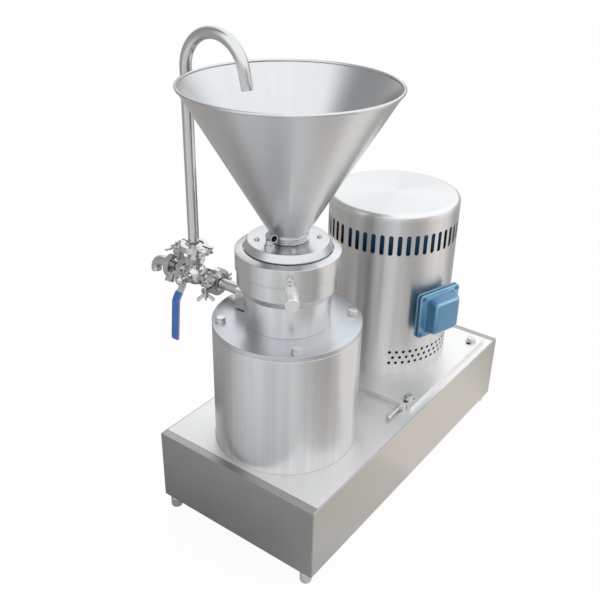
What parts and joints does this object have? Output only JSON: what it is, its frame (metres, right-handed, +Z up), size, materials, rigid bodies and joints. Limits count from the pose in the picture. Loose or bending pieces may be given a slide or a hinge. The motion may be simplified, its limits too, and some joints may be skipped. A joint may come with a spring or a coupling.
{
  "type": "colloid mill",
  "caption": "upright colloid mill on a sheet base: conical hopper over an adjustable toothed rotor and stator, return pipe with a three-way valve, covered motor and belt drive",
  "frame": {"origin": "on the floor, below the middle of the machine's bounding box", "axes": "+X from the mill to the motor, +Y to the outlet valve and spout, +Z up"},
  "size_m": [0.9194, 0.6342, 1.1099],
  "materials": {
    "brushed_stainless": "brushed sheet and turned stainless steel",
    "polished_stainless": "polished stainless steel",
    "ground_steel": "ground steel",
    "cast_grey": "cast iron, painted grey",
    "core_steel": "stacked core sheets",
    "blue_paint": "blue enamel, semi-gloss",
    "blue_sleeve": "dipped blue vinyl",
    "black_rubber": "black rubber",
    "black_plastic": "moulded black plastic"
  },
  "bodies": {
    "frame": {"base_deck": "brushed_stainless", "base_side_panels": "brushed_stainless", "base_end_panels": "brushed_stainless", "feet": "polished_stainless", "pedestal_shell": "brushed_stainless", "pedestal_flange": "brushed_stainless", "hex_bolts": "polished_stainless", "bearing_housing": "cast_grey", "bearing_outer_rings": "ground_steel", "bearing_cap": "cast_grey", "shaft_seal": "black_rubber", "mill_housing": "brushed_stainless", "outlet_spool": "polished_stainless", "v_belts": "black_rubber", "valve_body": "polished_stainless", "valve_gaskets": "black_rubber", "stem_gland": "polished_stainless", "spout_elbow": "polished_stainless", "return_pipe": "polished_stainless", "clamp_shells": "polished_stainless", "clamp_bolts": "polished_stainless", "tension_lug": "brushed_stainless", "tension_nut": "polished_stainless"},
    "motor_unit": {"motor_plate": "brushed_stainless", "motor_frame": "blue_paint", "motor_stator": "core_steel", "motor_shields": "blue_paint", "motor_bearings": "ground_steel", "fan_cowl": "blue_paint", "motor_cover": "brushed_stainless", "terminal_box": "blue_paint", "terminal_gasket": "black_rubber", "terminal_cover": "blue_paint", "terminal_screws": "polished_stainless"},
    "motor_rotor": {"motor_shaft": "ground_steel", "motor_rotor_core": "core_steel", "cooling_fan": "black_plastic", "drive_pulley": "cast_grey"},
    "spindle": {"spindle_shaft": "ground_steel", "mill_rotor": "ground_steel", "rotor_nut": "ground_steel", "driven_pulley": "cast_grey", "bearing_inner_rings": "ground_steel"},
    "ring": {"adjusting_ring": "brushed_stainless", "ring_handle": "polished_stainless", "lock_screw": "polished_stainless"},
    "stator_unit": {"feed_cover": "brushed_stainless", "cover_screws": "polished_stainless", "mill_stator": "ground_steel", "hopper": "polished_stainless", "cooling_elbow": "polished_stainless"},
    "valve": {"valve_ball": "polished_stainless", "valve_stem": "polished_stainless", "valve_lever": "polished_stainless", "lever_sleeve": "blue_sleeve", "lever_nut": "polished_stainless"},
    "nut_outlet": {"wing_nut_outlet": "polished_stainless"},
    "nut_spout": {"wing_nut_spout": "polished_stainless"},
    "nut_return": {"wing_nut_return": "polished_stainless"},
    "take_up_screw": {"tension_screw": "polished_stainless"}
  },
  "joints": [
    {"name": "motor_slide", "type": "slide", "parent": "frame", "child": "motor_unit", "axis": [1, 0, 0], "range_m": [0, 0.012], "deforming": ["v_belts"]},
    {"name": "motor_spin", "type": "hinge", "parent": "motor_unit", "child": "motor_rotor", "pos_m": [0.22975, -0.0791, 0.366], "axis": [0, 0, 1], "continuous": true},
    {"name": "spindle_spin", "type": "hinge", "parent": "frame", "child": "spindle", "pos_m": [-0.24025, -0.0971, 0.416], "axis": [0, 0, 1], "continuous": true},
    {"name": "ring_turn", "type": "hinge", "parent": "frame", "child": "ring", "pos_m": [-0.24025, -0.0971, 0.646], "axis": [0, 0, -1], "range_deg": [0, 180]},
    {"name": "stator_lift", "type": "slide", "parent": "frame", "child": "stator_unit", "axis": [0, 0, 1], "range_m": [0, 0.0015]},
    {"name": "valve_turn", "type": "hinge", "parent": "frame", "child": "valve", "pos_m": [-0.24025, 0.1744, 0.543], "axis": [1, 0, 0], "range_deg": [0, 90]},
    {"name": "nut_outlet_turn", "type": "hinge", "parent": "frame", "child": "nut_outlet", "pos_m": [-0.2824, 0.1054, 0.531], "axis": [0, 0, -1], "continuous": true},
    {"name": "nut_spout_turn", "type": "hinge", "parent": "frame", "child": "nut_spout", "pos_m": [-0.22957, 0.2434, 0.5855], "axis": [-0.866, 0, 0.5], "continuous": true},
    {"name": "nut_return_turn", "type": "hinge", "parent": "frame", "child": "nut_return", "pos_m": [-0.25225, 0.13225, 0.612], "axis": [-1, 0, 0], "continuous": true},
    {"name": "screw_slide", "type": "slide", "parent": "frame", "child": "take_up_screw", "axis": [1, 0, 0], "range_m": [0, 0.012]}
  ],
  "couplings": [
    {"joint": "spindle_spin", "follows": "motor_spin", "ratio": 1.1764},
    {"joint": "stator_lift", "follows": "ring_turn", "m_per_rad": 0.00047746},
    {"joint": "screw_slide", "follows": "motor_slide", "ratio": 1}
  ]
}
